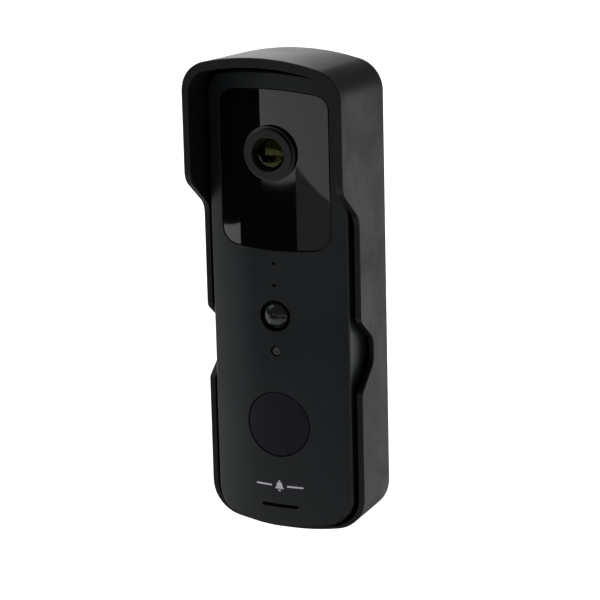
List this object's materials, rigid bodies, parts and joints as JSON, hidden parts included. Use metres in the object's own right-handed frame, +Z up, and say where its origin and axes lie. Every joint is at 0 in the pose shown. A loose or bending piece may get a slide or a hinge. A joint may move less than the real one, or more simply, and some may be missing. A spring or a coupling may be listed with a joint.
{
  "type": "video doorbell",
  "caption": "Battery video doorbell with camera window, motion sensor and round call button, seated in a hooded rain cover with finger notches.",
  "frame": {"origin": "centre of the rain cover's flat back face, which lies on the wall", "axes": "+Y into the wall, -Y towards the visitor, +X to the right for the visitor, +Z up"},
  "size_m": [0.0516, 0.0329, 0.1497],
  "materials": {
    "cover": "fine spark-eroded grain, satin black",
    "shell": "fine grain, matt black",
    "button": "smooth matt black",
    "window": "polished smoky black",
    "bezel": "turned satin black",
    "barrel": "matt black baffle",
    "optic": "coated glass",
    "smoke_lens": "smoky moulded lens",
    "rubber": "soft black rubber",
    "light_guide": "smoky light guide",
    "white_part": "white moulding",
    "black_part": "black moulding",
    "steel": "nickel-plated sheet",
    "contact": "plated contact metal",
    "flex": "amber flexible circuit",
    "cell": "shrink sleeve",
    "board": "green solder mask",
    "screw": "zinc-plated steel"
  },
  "bodies": {
    "rain_cover": {"rain_cover": "cover"},
    "doorbell": {"aerial": "contact", "back_shell": "shell", "battery_cell_left": "cell", "battery_cell_right": "cell", "battery_contact_left": "contact", "battery_contact_right": "contact", "battery_door_seal": "rubber", "battery_spring_left": "steel", "battery_spring_right": "steel", "battery_tray": "black_part", "call_switch": "black_part", "camera_flex_cable": "flex", "case_screw_lower_left": "screw", "case_screw_lower_right": "screw", "case_screw_upper_left": "screw", "case_screw_upper_right": "screw", "charging_socket": "steel", "front_board": "board", "front_shell": "shell", "image_sensor": "black_part", "indicator_led": "white_part", "indicator_light_guide": "light_guide", "ir_board": "board", "ir_light_lower_left": "smoke_lens", "ir_light_lower_right": "smoke_lens", "ir_light_upper_left": "smoke_lens", "ir_light_upper_right": "smoke_lens", "lens_barrel": "barrel", "lens_bezel": "bezel", "lens_glass": "optic", "light_sensor": "black_part", "main_board": "board", "microphone": "steel", "microphone_boot": "rubber", "motion_sensor": "steel", "motion_sensor_lens": "smoke_lens", "processor_shield": "steel", "radio_module": "steel", "rear_lens_element": "optic", "reset_switch": "white_part", "sensor_board": "board", "sensor_housing": "black_part", "shell_gasket": "rubber", "speaker": "black_part", "speaker_gasket": "rubber", "window_panel": "window"},
    "call_button": {"call_button": "button"},
    "battery_door": {"battery_door": "shell"},
    "charging_port_bung": {"charging_port_bung": "rubber"},
    "reset_button": {"reset_button": "white_part"}
  },
  "joints": [
    {"name": "doorbell_slide", "type": "slide", "parent": "rain_cover", "child": "doorbell", "axis": [0, -1, 0], "range_m": [0, 0.036]},
    {"name": "call_button_press", "type": "slide", "parent": "doorbell", "child": "call_button", "axis": [0, 1, 0], "range_m": [0, 0.0006], "stiffness_N_per_m": 1500, "springref_m": -0.0006},
    {"name": "battery_door_slide", "type": "slide", "parent": "doorbell", "child": "battery_door", "axis": [0, 0, -1], "range_m": [0, 0.003]},
    {"name": "bung_pull", "type": "slide", "parent": "doorbell", "child": "charging_port_bung", "axis": [0, 0, -1], "range_m": [0, 0.008]},
    {"name": "reset_press", "type": "slide", "parent": "doorbell", "child": "reset_button", "axis": [0, -1, 0], "range_m": [0, 0.0005], "stiffness_N_per_m": 800, "springref_m": -0.0005}
  ]
}
